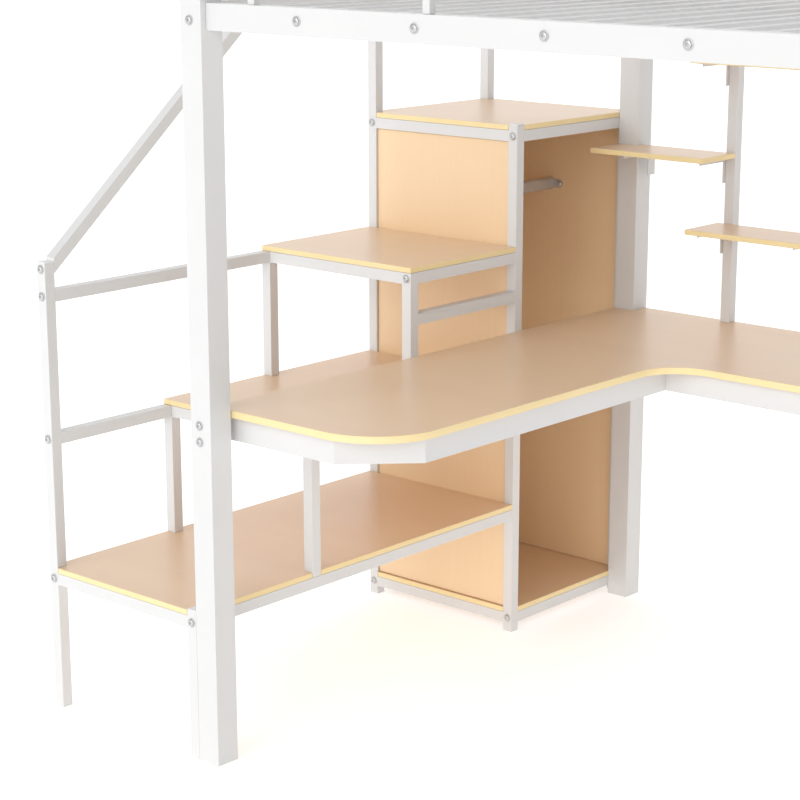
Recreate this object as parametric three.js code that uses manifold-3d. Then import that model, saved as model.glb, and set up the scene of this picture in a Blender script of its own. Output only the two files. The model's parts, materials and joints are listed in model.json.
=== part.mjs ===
// Loft bed with desk: a steel bed on four posts, storage stairs that end in a wardrobe,
// an L-shaped desk and three small shelves. Millimetres, +Z up, +X along the bed, +Y to the back.
import * as THREE from "three";
import { mergeVertices } from "three/addons/utils/BufferGeometryUtils.js";
import Module from "manifold-3d";

const wasm = await Module();
wasm.setup();

// ---------------------------------------------------------------- driving sizes
const gap = 0.3; // between faces that touch

// bed
const bedLength = 1965; // over the posts
const bedWidth = 1450; // over the posts
const overallHeight = 1850;
const deckHeight = 1510; // top of the side rails
const postSize = 55;
const postWall = 2;
const railDepth = 25;
const railHeight = 50;
const sideRailSetback = 13; // from the posts' outer faces
const endRailSetback = 3;
const ledgeWidth = 25;
const ledgeThick = 3;

// slats
const slatWidth = 30;
const slatHeight = 12;
const slatPitch = 79;
const slatWall = 1.5;
const slatDrop = 10; // slat tops below the rail tops
const slatSideGap = 2;
const slatStripWidth = 24;
const slatStripThick = 3;

// guards
const barSize = 16;
const barWall = 1.2;
const guardEndBar = 106; // first bar, from the post
const guardInnerBar = 525; // second bar, from the post
const midRailTop = 1690;
const landingMidRailTop = 1525;

// small square tube of the stairs, the wardrobe, the guards and the shelf posts
const tubeSize = 25;
const tubeWall = 1.5;

// stairs and wardrobe
const stairWidth = 452;
const stepTops = [316, 621, 924];
const stepFronts = [0, 336, 648];
const landingTop = 1198;
const landingFront = 1009;
const boardThick = 12;
const stairPostTop = 969;
const handrailStart = 946; // underside of the handrail at the stair post
const handrailEnd = 1767; // underside of the handrail at the wardrobe post
const lowBarTop = 821;
const wardrobeFloorTop = 58;
const panelThick = 12;
const panelSetback = 6;
const panelClearance = 1; // round the edge of each panel
const notchClearance = 1;
const rodHeight = 1006;
const rodWidth = 15;
const rodTall = 30;

// desk
const deskHeight = 728;
const deskThick = 15;
const deskFrontClearance = 4; // behind the front posts
const deskBackSetback = 7;
const deskWingWidth = 450;
const deskBackDepth = 473;
const deskOuterRadius = 150;
const deskInnerRadius = 100;
const apronHeight = 50;
const apronDepth = 25;
const apronInset = 16;
const apronChamfer = 122;
const deskSideRailX = 10; // from the outer face of the left posts

// shelves
const shelfThick = 12;
const shelfDepth = 135;
const shelfLength = 312;
const shelfPostX = [287, 540];
const shelfTops = { low: 960, middle: 1124, high: 1346 };
const shelfOverhang = 17; // past the shelf post, on the right-hand shelves
const bracketArm = 105;
const bracketDrop = 58;
const bracketFoot = 20;
const bracketLeg = 8; // the upright leg's front edge, in front of the shelf post
const bracketTip = 9;
const bracketThick = 3;
const bracketFlange = 18;

// ---------------------------------------------------------------- sizes that follow
const innerLength = bedLength - 2 * postSize;
const innerWidth = bedWidth - 2 * postSize;
const bedX = stairWidth + gap;
const overallLength = bedX + bedLength;
const slatTop = deckHeight - slatDrop;
const slatBottom = slatTop - slatHeight - slatStripThick;
const ledgeTop = slatBottom - gap;
const deckLength = bedLength - 2 * (endRailSetback + railDepth);
const deckWidth = bedWidth - 2 * (sideRailSetback + railDepth);
const apronTop = deskHeight - deskThick - gap;
const apronBottom = apronTop - apronHeight;
const wardrobeDepth = bedWidth - landingFront;

// ---------------------------------------------------------------- materials
function coat(color, roughness, metalness) {
  return () => new THREE.MeshStandardMaterial({ color, roughness, metalness });
}
const whiteSteel = coat(0xf2f2f0, 0.42, 0.15);
const greySteel = coat(0xd4d4d2, 0.45, 0.25);
const rodSteel = coat(0xc4c6c8, 0.35, 0.6);
const laminate = coat(0xecd0a4, 0.55, 0);
const edgedLaminate = coat(0xf2cf98, 0.55, 0);

// ---------------------------------------------------------------- solids
function solidOf(geometry) {
  const bare = geometry.clone();
  bare.deleteAttribute("normal");
  bare.deleteAttribute("uv");
  const merged = mergeVertices(bare, 1e-4);
  return new wasm.Manifold(
    new wasm.Mesh({
      numProp: 3,
      vertProperties: new Float32Array(merged.attributes.position.array),
      triVerts: new Uint32Array(merged.index.array),
    }),
  );
}

function geometryOf(solid) {
  const mesh = solid.getMesh();
  const geometry = new THREE.BufferGeometry();
  geometry.setAttribute("position", new THREE.BufferAttribute(mesh.vertProperties, 3));
  geometry.setIndex(new THREE.BufferAttribute(mesh.triVerts, 1));
  const flat = geometry.toNonIndexed();
  flat.computeVertexNormals();
  return flat;
}

// A block with its low corner at the given point.
function block(size, at = [0, 0, 0]) {
  const geometry = new THREE.BoxGeometry(...size);
  geometry.translate(...at.map((low, i) => low + size[i] / 2));
  return solidOf(geometry);
}

// An outline in X and Y, raised by a height.
function prism(shape, height, z = 0) {
  const geometry = new THREE.ExtrudeGeometry(shape, {
    depth: height,
    bevelEnabled: false,
    curveSegments: 12,
  });
  geometry.translate(0, 0, z);
  return solidOf(geometry);
}

// An outline given as (y, z) points, swept along X.
function sweepX(points, width, x = 0) {
  const shape = new THREE.Shape(points.map(([y, z]) => new THREE.Vector2(y, z)));
  const geometry = new THREE.ExtrudeGeometry(shape, { depth: width, bevelEnabled: false });
  const turn = new THREE.Matrix4().makeBasis(
    new THREE.Vector3(0, 1, 0),
    new THREE.Vector3(0, 0, 1),
    new THREE.Vector3(1, 0, 0),
  );
  geometry.applyMatrix4(turn);
  geometry.translate(x, 0, 0);
  return solidOf(geometry);
}

function join(solids) {
  return solids.reduce((whole, next) => whole.add(next));
}

function cut(solid, tools) {
  return tools.reduce((rest, tool) => rest.subtract(tool), solid);
}

// How far a bar's skin and its bore run past each kind of end.
const OPEN = { skin: 0, bore: () => 1 };
const SHUT = { skin: 0, bore: (wall) => -wall };
const JOINED = { skin: 0.5, bore: (wall) => wall + 1 };

// One hollow bar along an axis (0, 1 or 2), from its low corner.
function bar(axis, size, at = [0, 0, 0], ends = [OPEN, OPEN]) {
  return { axis, size, at, ends };
}

function skinOf({ axis, size, at, ends }) {
  const long = size.map((s, i) => (i === axis ? s + ends[0].skin + ends[1].skin : s));
  return block(long, at.map((low, i) => (i === axis ? low - ends[0].skin : low)));
}

function boreOf({ axis, size, at, ends }, wall) {
  const before = ends[0].bore(wall);
  const after = ends[1].bore(wall);
  const inner = size.map((s, i) => (i === axis ? s + before + after : s - 2 * wall));
  return block(inner, at.map((low, i) => (i === axis ? low - before : low + wall)));
}

// Bars welded into one piece, their bores run together.
function weld(bars, wall) {
  return join(bars.map(skinOf)).subtract(join(bars.map((b) => boreOf(b, wall))));
}

// ---------------------------------------------------------------- scene graph
function groupAt(parent, x, y, z) {
  const group = new THREE.Group();
  group.position.set(x, y, z);
  parent.add(group);
  return group;
}

function addPiece(parent, name, solid, material, [x, y, z] = [0, 0, 0]) {
  const mesh = new THREE.Mesh(geometryOf(solid), material());
  mesh.name = name;
  mesh.position.set(x, y, z);
  parent.add(mesh);
  return mesh;
}

const loftBed = new THREE.Group();
const floorCorner = groupAt(loftBed, -overallLength / 2, -bedWidth / 2, 0);

// ---------------------------------------------------------------- bed
const bed = groupAt(floorCorner, bedX, 0, 0);

// Posts and uprights have a shut foot and an open top.
function bedPost() {
  return weld([bar(2, [postSize, postSize, overallHeight], [0, 0, 0], [SHUT, OPEN])], postWall);
}

function addPosts() {
  const right = bedLength - postSize;
  const back = bedWidth - postSize;
  addPiece(bed, "post_front_left", bedPost(), whiteSteel, [0, 0, 0]);
  addPiece(bed, "post_front_right", bedPost(), whiteSteel, [right, 0, 0]);
  addPiece(bed, "post_back_left", bedPost(), whiteSteel, [0, back, 0]);
  addPiece(bed, "post_back_right", bedPost(), whiteSteel, [right, back, 0]);
}

// A side rail with its slat ledge. The front one faces -Y, the back one is its mirror image.
function sideRail(isFront) {
  const length = innerLength - 2 * gap;
  const tube = weld([bar(0, [length, railDepth, railHeight])], tubeWall);
  const ledgeY = isFront ? railDepth - tubeWall : -ledgeWidth;
  const ledgeZ = ledgeTop - ledgeThick - (deckHeight - railHeight);
  return tube.add(block([length, ledgeWidth + tubeWall, ledgeThick], [0, ledgeY, ledgeZ]));
}

function addRails() {
  const railZ = deckHeight - railHeight;
  const backY = bedWidth - sideRailSetback - railDepth;
  addPiece(bed, "side_rail_front", sideRail(true), whiteSteel, [postSize + gap, sideRailSetback, railZ]);
  addPiece(bed, "side_rail_back", sideRail(false), whiteSteel, [postSize + gap, backY, railZ]);
  const endRail = () => weld([bar(1, [railDepth, innerWidth - 2 * gap, railHeight])], tubeWall);
  const rightX = bedLength - endRailSetback - railDepth;
  addPiece(bed, "end_rail_left", endRail(), whiteSteel, [endRailSetback, postSize + gap, railZ]);
  addPiece(bed, "end_rail_right", endRail(), whiteSteel, [rightX, postSize + gap, railZ]);
  const beam = weld([bar(0, [deckLength - 2 * gap, tubeSize, tubeSize])], tubeWall);
  const beamX = endRailSetback + railDepth + gap;
  addPiece(bed, "centre_beam", beam, whiteSteel, [beamX, (bedWidth - tubeSize) / 2, ledgeTop - tubeSize]);
}

// Slats pressed from sheet, open below, welded on two flat strips.
function slatPanel(length) {
  const span = deckWidth - 2 * slatSideGap;
  const count = Math.floor((length - slatWidth) / slatPitch) + 1;
  const first = (length - (count - 1) * slatPitch - slatWidth) / 2;
  const strip = (y) => block([length, slatStripWidth, slatStripThick], [0, y, 0]);
  const pieces = [strip(0), strip(span - slatStripWidth)];
  const hollows = [];
  for (let i = 0; i < count; i++) {
    const x = first + i * slatPitch;
    pieces.push(block([slatWidth, span, slatHeight], [x, 0, slatStripThick]));
    const bore = [slatWidth - 2 * slatWall, span - 2 * slatStripWidth, slatHeight - slatWall + 1];
    hollows.push(block(bore, [x + slatWall, slatStripWidth, slatStripThick - 1]));
  }
  return cut(join(pieces), hollows);
}

function addSlats() {
  const length = innerLength / 2 - gap;
  const y = sideRailSetback + railDepth + slatSideGap;
  const leftX = postSize + gap / 2;
  addPiece(bed, "slat_panel_left", slatPanel(length), greySteel, [leftX, y, slatBottom]);
  addPiece(bed, "slat_panel_right", slatPanel(length), greySteel, [leftX + innerLength / 2, y, slatBottom]);
}

// A guard between two uprights: a top rail, a middle rail and bars. The bars stand on a floor level,
// or, with none given, they end on the middle rail. The axis is 0 along X or 1 along Y; stations are
// the bars' near faces from the guard's own start.
function guard(axis, length, stations, middleTop, floor) {
  const across = 1 - axis;
  const lay = (along, wide, high) => {
    const size = [0, 0, high];
    size[axis] = along;
    size[across] = wide;
    return size;
  };
  const spot = (along, side, z) => {
    const at = [0, 0, z];
    at[axis] = along;
    at[across] = side;
    return at;
  };
  const side = (tubeSize - barSize) / 2;
  const topRail = bar(axis, lay(length, tubeSize, tubeSize), spot(0, 0, overallHeight - tubeSize));
  const midRail = bar(axis, lay(length, barSize, barSize), spot(0, side, middleTop - barSize));
  const bottom = floor ?? middleTop;
  const foot = floor === undefined ? JOINED : OPEN;
  const uprights = stations.map((along) => {
    const height = overallHeight - tubeSize - bottom;
    return bar(2, lay(barSize, barSize, height), spot(along, side, bottom), [foot, JOINED]);
  });
  return weld([topRail, midRail, ...uprights], barWall);
}

function addGuards() {
  const run = innerLength - 2 * gap;
  const stations = [guardEndBar, guardInnerBar, run - guardInnerBar - barSize, run - guardEndBar - barSize];
  const floor = deckHeight + gap;
  const backY = bedWidth - sideRailSetback - railDepth;
  const long = () => guard(0, run, stations, midRailTop, floor);
  addPiece(bed, "guard_front", long(), whiteSteel, [postSize + gap, sideRailSetback, 0]);
  addPiece(bed, "guard_back", long(), whiteSteel, [postSize + gap, backY, 0]);
  const width = innerWidth - 2 * gap;
  const ends = [guardEndBar, (width - barSize) / 2, width - guardEndBar - barSize];
  const rightX = bedLength - endRailSetback - railDepth;
  const right = guard(1, width, ends, midRailTop, floor);
  addPiece(bed, "guard_right", right, whiteSteel, [rightX, postSize + gap, 0]);
  // The left guard stops where the landing lets a person step on to the bed.
  const reach = landingFront - postSize - gap;
  const leftStations = [(reach - barSize) / 2, reach - barSize];
  const left = guard(1, reach, leftStations, midRailTop, floor);
  addPiece(bed, "guard_left", left, whiteSteel, [endRailSetback, postSize + gap, 0]);
}

// ---------------------------------------------------------------- stairs
const stairs = groupAt(floorCorner, 0, 0, 0);
const farTube = stairWidth - tubeSize; // low face of the right-hand uprights

function upright(x, from, to) {
  return bar(2, [tubeSize, tubeSize, to - from], [x, 0, from], [SHUT, OPEN]);
}

function crossTube(z) {
  return bar(0, [stairWidth - 2 * tubeSize, tubeSize, tubeSize], [tubeSize, 0, z], [JOINED, JOINED]);
}

function frameTop(step) {
  return stepTops[step] - boardThick - gap;
}

// The frame that faces each flight: two uprights and the tube below the step's front edge.
function stepFrame(leftFrom, leftTo, rightFrom, rightTo, tubeTop, extraBars = []) {
  const left = upright(0, leftFrom, leftTo);
  const right = upright(farTube, rightFrom, rightTo);
  return weld([left, right, crossTube(tubeTop - tubeSize), ...extraBars], tubeWall);
}

// The third frame's right-hand upright has a bar welded to it that runs back to the wardrobe.
function lowBar() {
  const length = landingFront - gap - stepFronts[2] - tubeSize;
  return bar(1, [tubeSize, length, tubeSize], [farTube, tubeSize, lowBarTop - tubeSize], [JOINED, OPEN]);
}

function addStepFrames() {
  const first = stepFrame(0, stairPostTop, 0, stepTops[0], frameTop(0));
  addPiece(stairs, "stair_front_frame", first, whiteSteel, [0, stepFronts[0], 0]);
  for (const step of [1, 2]) {
    const onBoard = stepTops[step - 1] + gap;
    const onRail = frameTop(step - 1) + gap;
    const top = frameTop(step);
    const frame = stepFrame(onBoard, top, onRail, top, top, step === 2 ? [lowBar()] : []);
    addPiece(stairs, `step_frame_${step + 1}`, frame, whiteSteel, [0, stepFronts[step], 0]);
  }
}

function lengthwiseTube(from, to) {
  return weld([bar(1, [tubeSize, to - from, tubeSize])], tubeWall);
}

function addStepRails() {
  stepFronts.forEach((front, step) => {
    const from = front + tubeSize + gap;
    const rail = () => lengthwiseTube(from, landingFront - gap);
    const z = frameTop(step) - tubeSize;
    addPiece(stairs, `step_rail_${step + 1}_left`, rail(), whiteSteel, [0, from, z]);
    addPiece(stairs, `step_rail_${step + 1}_right`, rail(), whiteSteel, [farTube, from, z]);
  });
}

// A cutter that lets an upright through a board.
function notch(x, y) {
  const across = tubeSize + 2 * notchClearance;
  return block([across, across, 3 * boardThick], [x - notchClearance, y - notchClearance, -boardThick]);
}

function addSteps() {
  stepFronts.forEach((front, step) => {
    const board = block([stairWidth, landingFront - gap - front, boardThick]);
    const notches = [];
    if (step === 0) notches.push(notch(0, 0), notch(farTube, 0));
    if (step < 2) notches.push(notch(farTube, stepFronts[step + 1] - front));
    const at = [0, front, stepTops[step] - boardThick];
    addPiece(stairs, `step_board_${step + 1}`, cut(board, notches), edgedLaminate, at);
  });
}

// The two bars and the sloping handrail beside the flight.
function addStairGuards() {
  const from = tubeSize + gap;
  [1, 2].forEach((step) => {
    const side = lengthwiseTube(from, stepFronts[step] - gap);
    const name = step === 1 ? "side_bar_low" : "side_bar_high";
    addPiece(stairs, name, side, whiteSteel, [0, from, frameTop(step) - tubeSize]);
  });
  const run = landingFront - gap - from;
  const rise = handrailEnd - handrailStart;
  const slant = Math.hypot(run, rise) / run;
  const band = (inset, past) => {
    const low = inset * slant;
    const high = (tubeSize - inset) * slant;
    const slope = rise / run;
    return [
      [-past, low - past * slope],
      [run + past, rise + low + past * slope],
      [run + past, rise + high + past * slope],
      [-past, high - past * slope],
    ];
  };
  const skin = sweepX(band(0, 0), tubeSize);
  const bore = sweepX(band(tubeWall, 1), tubeSize - 2 * tubeWall, tubeWall);
  addPiece(stairs, "handrail", skin.subtract(bore), whiteSteel, [0, from, handrailStart]);
}

// ---------------------------------------------------------------- wardrobe under the landing
const wardrobe = groupAt(floorCorner, 0, landingFront, 0);
const landingFrameTop = landingTop - boardThick - gap;
const floorFrameTop = wardrobeFloorTop - boardThick - gap;
const backTube = wardrobeDepth - tubeSize; // low face of the back frame

function wardrobeFrame() {
  const left = upright(0, 0, overallHeight);
  const right = upright(farTube, 0, landingTop);
  const tubes = [landingFrameTop, floorFrameTop].map((top) => crossTube(top - tubeSize));
  return weld([left, right, ...tubes], tubeWall);
}

function addWardrobeFrames() {
  addPiece(wardrobe, "wardrobe_front_frame", wardrobeFrame(), whiteSteel, [0, 0, 0]);
  addPiece(wardrobe, "wardrobe_back_frame", wardrobeFrame(), whiteSteel, [0, backTube, 0]);
  const from = tubeSize + gap;
  const levels = { top: landingFrameTop, bottom: floorFrameTop };
  const sides = { left: 0, right: farTube };
  for (const [level, top] of Object.entries(levels)) {
    for (const [side, x] of Object.entries(sides)) {
      const rail = lengthwiseTube(from, backTube - gap);
      addPiece(wardrobe, `wardrobe_rail_${level}_${side}`, rail, whiteSteel, [x, from, top - tubeSize]);
    }
  }
}

function addWardrobeBoards() {
  const corners = () => [notch(0, 0), notch(farTube, 0), notch(0, backTube), notch(farTube, backTube)];
  const board = () => cut(block([stairWidth, wardrobeDepth, boardThick]), corners());
  addPiece(wardrobe, "landing_board", board(), edgedLaminate, [0, 0, landingTop - boardThick]);
  addPiece(wardrobe, "wardrobe_floor", board(), edgedLaminate, [0, 0, wardrobeFloorTop - boardThick]);
}

function addWardrobePanels() {
  const bottom = wardrobeFloorTop + panelClearance;
  const height = landingFrameTop - tubeSize - panelClearance - bottom;
  const inside = tubeSize + panelClearance;
  const width = stairWidth - 2 * inside;
  const depth = wardrobeDepth - 2 * inside;
  const facing = () => block([width, panelThick, height]);
  const backY = wardrobeDepth - panelSetback - panelThick;
  addPiece(wardrobe, "wardrobe_front_panel", facing(), laminate, [inside, panelSetback, bottom]);
  addPiece(wardrobe, "wardrobe_back_panel", facing(), laminate, [inside, backY, bottom]);
  const side = block([panelThick, depth, height]);
  addPiece(wardrobe, "wardrobe_left_panel", side, laminate, [panelSetback, inside, bottom]);
}

function hangingRod() {
  const length = wardrobeDepth - 2 * (panelSetback + panelThick + gap);
  const oval = (shrink) => {
    const shape = new THREE.Shape();
    const round = rodWidth / 2 - shrink;
    const straight = (rodTall - rodWidth) / 2;
    shape.absarc(0, straight, round, 0, Math.PI);
    shape.absarc(0, -straight, round, Math.PI, 2 * Math.PI);
    return shape;
  };
  const upAlongY = new THREE.Matrix4().makeBasis(
    new THREE.Vector3(1, 0, 0),
    new THREE.Vector3(0, 0, 1),
    new THREE.Vector3(0, -1, 0),
  );
  const bodyOf = (shrink, past) => {
    const settings = { depth: length + 2 * past, bevelEnabled: false, curveSegments: 8 };
    const geometry = new THREE.ExtrudeGeometry(oval(shrink), settings);
    geometry.translate(0, 0, -length - past);
    geometry.applyMatrix4(upAlongY);
    return solidOf(geometry);
  };
  return bodyOf(0, 0).subtract(bodyOf(tubeWall, 1));
}

function addHangingRod() {
  const y = panelSetback + panelThick + gap;
  addPiece(wardrobe, "hanging_rod", hangingRod(), rodSteel, [stairWidth / 2, y, rodHeight]);
}

function addLandingGuards() {
  const from = tubeSize + gap;
  const run = backTube - gap - from;
  const left = guard(1, run, [(run - barSize) / 2], landingMidRailTop);
  addPiece(wardrobe, "landing_guard_left", left, whiteSteel, [0, from, 0]);
  const reach = stairWidth - from;
  const back = guard(0, reach, [(reach - barSize) / 2], landingMidRailTop);
  addPiece(wardrobe, "landing_guard_back", back, whiteSteel, [from, backTube, 0]);
}

// ---------------------------------------------------------------- desk
const desk = groupAt(bed, 0, 0, 0);
const deskFront = postSize + deskFrontClearance;
const deskBack = bedWidth - deskBackSetback;
const wingInner = deskBack - deskBackDepth; // front edge of the back wing

function deskOutline() {
  const shape = new THREE.Shape();
  shape.moveTo(0, deskFront);
  shape.lineTo(deskWingWidth - deskOuterRadius, deskFront);
  const outerY = deskFront + deskOuterRadius;
  shape.absarc(deskWingWidth - deskOuterRadius, outerY, deskOuterRadius, -Math.PI / 2, 0);
  const innerX = deskWingWidth + deskInnerRadius;
  const innerY = wingInner - deskInnerRadius;
  shape.absarc(innerX, innerY, deskInnerRadius, Math.PI, Math.PI / 2, true);
  shape.lineTo(bedLength, wingInner);
  shape.lineTo(bedLength, deskBack);
  shape.lineTo(0, deskBack);
  return shape;
}

function postNotch(x) {
  const across = postSize + 2 * notchClearance;
  const y = bedWidth - postSize - notchClearance;
  return block([across, across, 3 * deskThick], [x - notchClearance, y, -deskThick]);
}

function addDeskTop() {
  const board = prism(deskOutline(), deskThick);
  const notches = [postNotch(0), postNotch(bedLength - postSize)];
  addPiece(desk, "desk_top", cut(board, notches), laminate, [0, 0, deskHeight - deskThick]);
}

const railMiddleX = deskSideRailX + apronDepth; // right face of the side rail
const apronBackY = wingInner + apronInset; // front face of the long apron rail

// The wing's apron as an outline band: front run, corner cut at 45 degrees, run along the right edge.
function apronBand(near, far, before, after) {
  const front = deskFront + apronInset;
  const right = deskWingWidth - apronInset;
  const edge = (inset) => {
    const lean = inset * Math.tan(Math.PI / 8);
    return [
      [railMiddleX - before, front + inset],
      [right - apronChamfer - lean, front + inset],
      [right - inset, front + apronChamfer + lean],
      [right - inset, apronBackY - gap + after],
    ];
  };
  const outline = [...edge(near), ...edge(far).reverse()];
  return new THREE.Shape(outline.map(([x, y]) => new THREE.Vector2(x, y)));
}

// The side rail between the left posts, with the apron welded to it.
function deskWingFrame() {
  const railAt = [deskSideRailX, postSize + gap, 0];
  const rail = bar(1, [apronDepth, innerWidth - 2 * gap, apronHeight], railAt);
  const skin = prism(apronBand(0, apronDepth, JOINED.skin, 0), apronHeight);
  const boreBand = apronBand(tubeWall, apronDepth - tubeWall, JOINED.bore(tubeWall), OPEN.bore());
  const bore = prism(boreBand, apronHeight - 2 * tubeWall, tubeWall);
  return join([skinOf(rail), skin]).subtract(join([boreOf(rail, tubeWall), bore]));
}

function addDeskFrame() {
  addPiece(desk, "desk_wing_frame", deskWingFrame(), whiteSteel, [0, 0, apronBottom]);
  const legX = bedLength - deskSideRailX - apronDepth;
  const longX = railMiddleX + gap;
  const long = weld([bar(0, [legX - gap - longX, apronDepth, apronHeight])], tubeWall);
  addPiece(desk, "desk_front_rail", long, whiteSteel, [longX, apronBackY, apronBottom]);
  const back = weld([bar(0, [innerLength - 2 * gap, apronDepth, apronHeight])], tubeWall);
  const backY = bedWidth - sideRailSetback - apronDepth;
  addPiece(desk, "desk_back_rail", back, whiteSteel, [postSize + gap, backY, apronBottom]);
  const tieRun = bedWidth - postSize - gap - apronBackY;
  const leg = bar(2, [apronDepth, apronDepth, apronTop], [0, 0, 0], [SHUT, OPEN]);
  const tieAt = [0, apronDepth, apronBottom];
  const tie = bar(1, [apronDepth, tieRun - apronDepth, apronHeight], tieAt, [JOINED, OPEN]);
  addPiece(desk, "desk_end_frame", weld([leg, tie], tubeWall), whiteSteel, [legX, apronBackY, 0]);
}

// ---------------------------------------------------------------- shelves
const shelves = groupAt(bed, 0, 0, 0);
const shelfPostY = deskBack - tubeSize;
const shelfFront = shelfPostY - gap - shelfDepth;

function addShelfPosts() {
  const height = deckHeight - railHeight - gap - (deskHeight + gap);
  shelfPostX.forEach((x, i) => {
    const post = weld([bar(2, [tubeSize, tubeSize, height], [0, 0, 0], [OPEN, OPEN])], tubeWall);
    const name = i === 0 ? "shelf_post_left" : "shelf_post_right";
    addPiece(shelves, name, post, whiteSteel, [x, shelfPostY, deskHeight + gap]);
  });
}

// An L-shaped plate on the side of a post, whose arm carries the shelf, with a flange below the shelf.
function bracket() {
  const foot = shelfPostY + bracketFoot;
  const tip = shelfPostY - bracketArm;
  const profile = [
    [foot, -bracketDrop],
    [foot, 0],
    [tip, 0],
    [tip, -bracketTip],
    [shelfPostY - bracketLeg, -bracketTip],
    [shelfPostY - bracketLeg, -bracketDrop],
  ];
  const plate = sweepX(profile, bracketThick);
  const flangeSize = [bracketFlange, bracketArm - bracketFoot, bracketThick];
  return plate.add(block(flangeSize, [bracketThick - bracketFlange, tip, -bracketThick]));
}

function addShelf(name, x, top, plateXs) {
  const board = block([shelfLength, shelfDepth, shelfThick]);
  const meetsPost = x < postSize;
  const corner = postSize + notchClearance - x;
  const notchY = bedWidth - postSize - notchClearance - shelfFront;
  const postCut = () => block([corner + 1, shelfDepth, 3 * shelfThick], [-1, notchY, -shelfThick]);
  const solid = meetsPost ? board.subtract(postCut()) : board;
  addPiece(shelves, `shelf_${name}`, solid, edgedLaminate, [x, shelfFront, top - shelfThick]);
  plateXs.forEach((plateX, i) => {
    const side = i === 0 ? "left" : "right";
    const at = [plateX, 0, top - shelfThick - gap];
    addPiece(shelves, `bracket_${name}_${side}`, bracket(), whiteSteel, at);
  });
}

function addShelves() {
  const onLeftOf = (x) => x - gap - bracketThick;
  const firstPost = onLeftOf(shelfPostX[0]);
  const secondPost = onLeftOf(shelfPostX[1]);
  const rightHandX = shelfPostX[0] - shelfOverhang;
  addShelf("low", rightHandX, shelfTops.low, [firstPost, secondPost]);
  addShelf("high", rightHandX, shelfTops.high, [firstPost, secondPost]);
  const leftHandX = shelfPostX[0] + tubeSize - shelfLength;
  addShelf("middle", leftHandX, shelfTops.middle, [postSize + gap + bracketFlange, firstPost]);
}

addPosts();
addRails();
addSlats();
addGuards();
addStepFrames();
addStepRails();
addSteps();
addStairGuards();
addWardrobeFrames();
addWardrobeBoards();
addWardrobePanels();
addHangingRod();
addLandingGuards();
addDeskTop();
addDeskFrame();
addShelfPosts();
addShelves();

export default loftBed;
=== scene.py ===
# %% [markdown]
# # A steel loft bed with stairs, a wardrobe, an L-shaped desk and shelves
#
# This lesson dresses a finished CAD model. The CAD gives every tube and board its size and place.
# Blender adds what a drawing leaves out: rounded edges, bolts, caps, welds, coatings and wood grain.

# %% [markdown]
# ## The frame
#
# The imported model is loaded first. Its nodes lie in metres, X along the bed, Y to the back, Z up,
# and their places are in their meshes. The box of the whole object is kept, to compare at the end.

# %% Load the frame
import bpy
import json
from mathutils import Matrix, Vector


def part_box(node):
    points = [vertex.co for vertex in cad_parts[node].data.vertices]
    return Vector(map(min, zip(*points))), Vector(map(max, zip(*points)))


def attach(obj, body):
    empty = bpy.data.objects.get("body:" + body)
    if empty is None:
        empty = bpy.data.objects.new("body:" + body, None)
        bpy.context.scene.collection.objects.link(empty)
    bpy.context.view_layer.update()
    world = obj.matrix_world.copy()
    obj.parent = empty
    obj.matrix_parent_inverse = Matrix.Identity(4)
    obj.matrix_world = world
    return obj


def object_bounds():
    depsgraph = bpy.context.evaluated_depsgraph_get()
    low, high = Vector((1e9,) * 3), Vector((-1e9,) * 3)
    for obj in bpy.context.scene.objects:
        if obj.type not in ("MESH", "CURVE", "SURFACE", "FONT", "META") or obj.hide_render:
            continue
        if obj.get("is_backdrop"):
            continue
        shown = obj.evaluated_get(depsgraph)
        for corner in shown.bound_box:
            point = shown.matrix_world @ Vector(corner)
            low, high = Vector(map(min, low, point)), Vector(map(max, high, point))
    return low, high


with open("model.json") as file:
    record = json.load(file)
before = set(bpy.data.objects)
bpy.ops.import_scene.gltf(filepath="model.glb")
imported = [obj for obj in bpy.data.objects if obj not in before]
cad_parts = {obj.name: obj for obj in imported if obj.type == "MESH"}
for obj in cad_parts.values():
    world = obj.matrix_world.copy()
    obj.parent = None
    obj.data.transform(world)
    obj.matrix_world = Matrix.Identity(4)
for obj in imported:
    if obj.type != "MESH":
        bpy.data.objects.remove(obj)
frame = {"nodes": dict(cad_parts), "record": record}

cad_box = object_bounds()
print("nodes:", len(frame["nodes"]), "box:", [tuple(round(v, 4) for v in corner) for corner in cad_box])

# %% [markdown]
# ## What the script needs
#
# Only Blender's own modules, and the names of the nodes, which the record lists by material slot.

# %% Imports and nodes by slot
import json
import math
import random

import bmesh
import bpy
from mathutils import Matrix, Vector

MM = 0.001
WHITE = (1.0, 1.0, 1.0, 1.0)
SMOOTH_BELOW = math.radians(32)
slot_of = {part["node"]: part["material_slot"] for part in frame["record"]["subparts"]}
nodes_in = {}
for node_name, slot_name in slot_of.items():
    nodes_in.setdefault(slot_name, []).append(node_name)
for slot_name, names in nodes_in.items():
    print(slot_name, len(names))

# %% [markdown]
# ## The camera
#
# The bed is seen from the front right, at about the height of the deck, through a long lens that
# keeps its uprights nearly parallel. The view is close: the right end and the guards lie outside it.
# A small shift of the lens frames it without tilting the uprights.

# %% Camera
camera_data = bpy.data.cameras.new("studio_camera")
camera_data.sensor_width = 36
camera_data.lens = 95.75
camera_data.shift_x = -0.0118
camera_data.shift_y = 0.0381
camera = bpy.data.objects.new("studio_camera", camera_data)
camera.location = (2.2157, -3.456, 1.727)
camera.rotation_euler = (math.radians(75.52), 0, math.radians(41.37))
bpy.context.scene.collection.objects.link(camera)
bpy.context.scene.camera = camera
print("camera at", tuple(camera.location))

# %% [markdown]
# ## Shader maths
#
# A finish is a tree of nodes. Written one node at a time it is long and hard to read. Here a signal
# wraps one socket, so sums and products of signals are written as such and add Math nodes.
# Every other node comes from one method, which sets the node's own settings before its sockets.
# The same class serves the finishes and, at the end, the glow of the studio.

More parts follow.
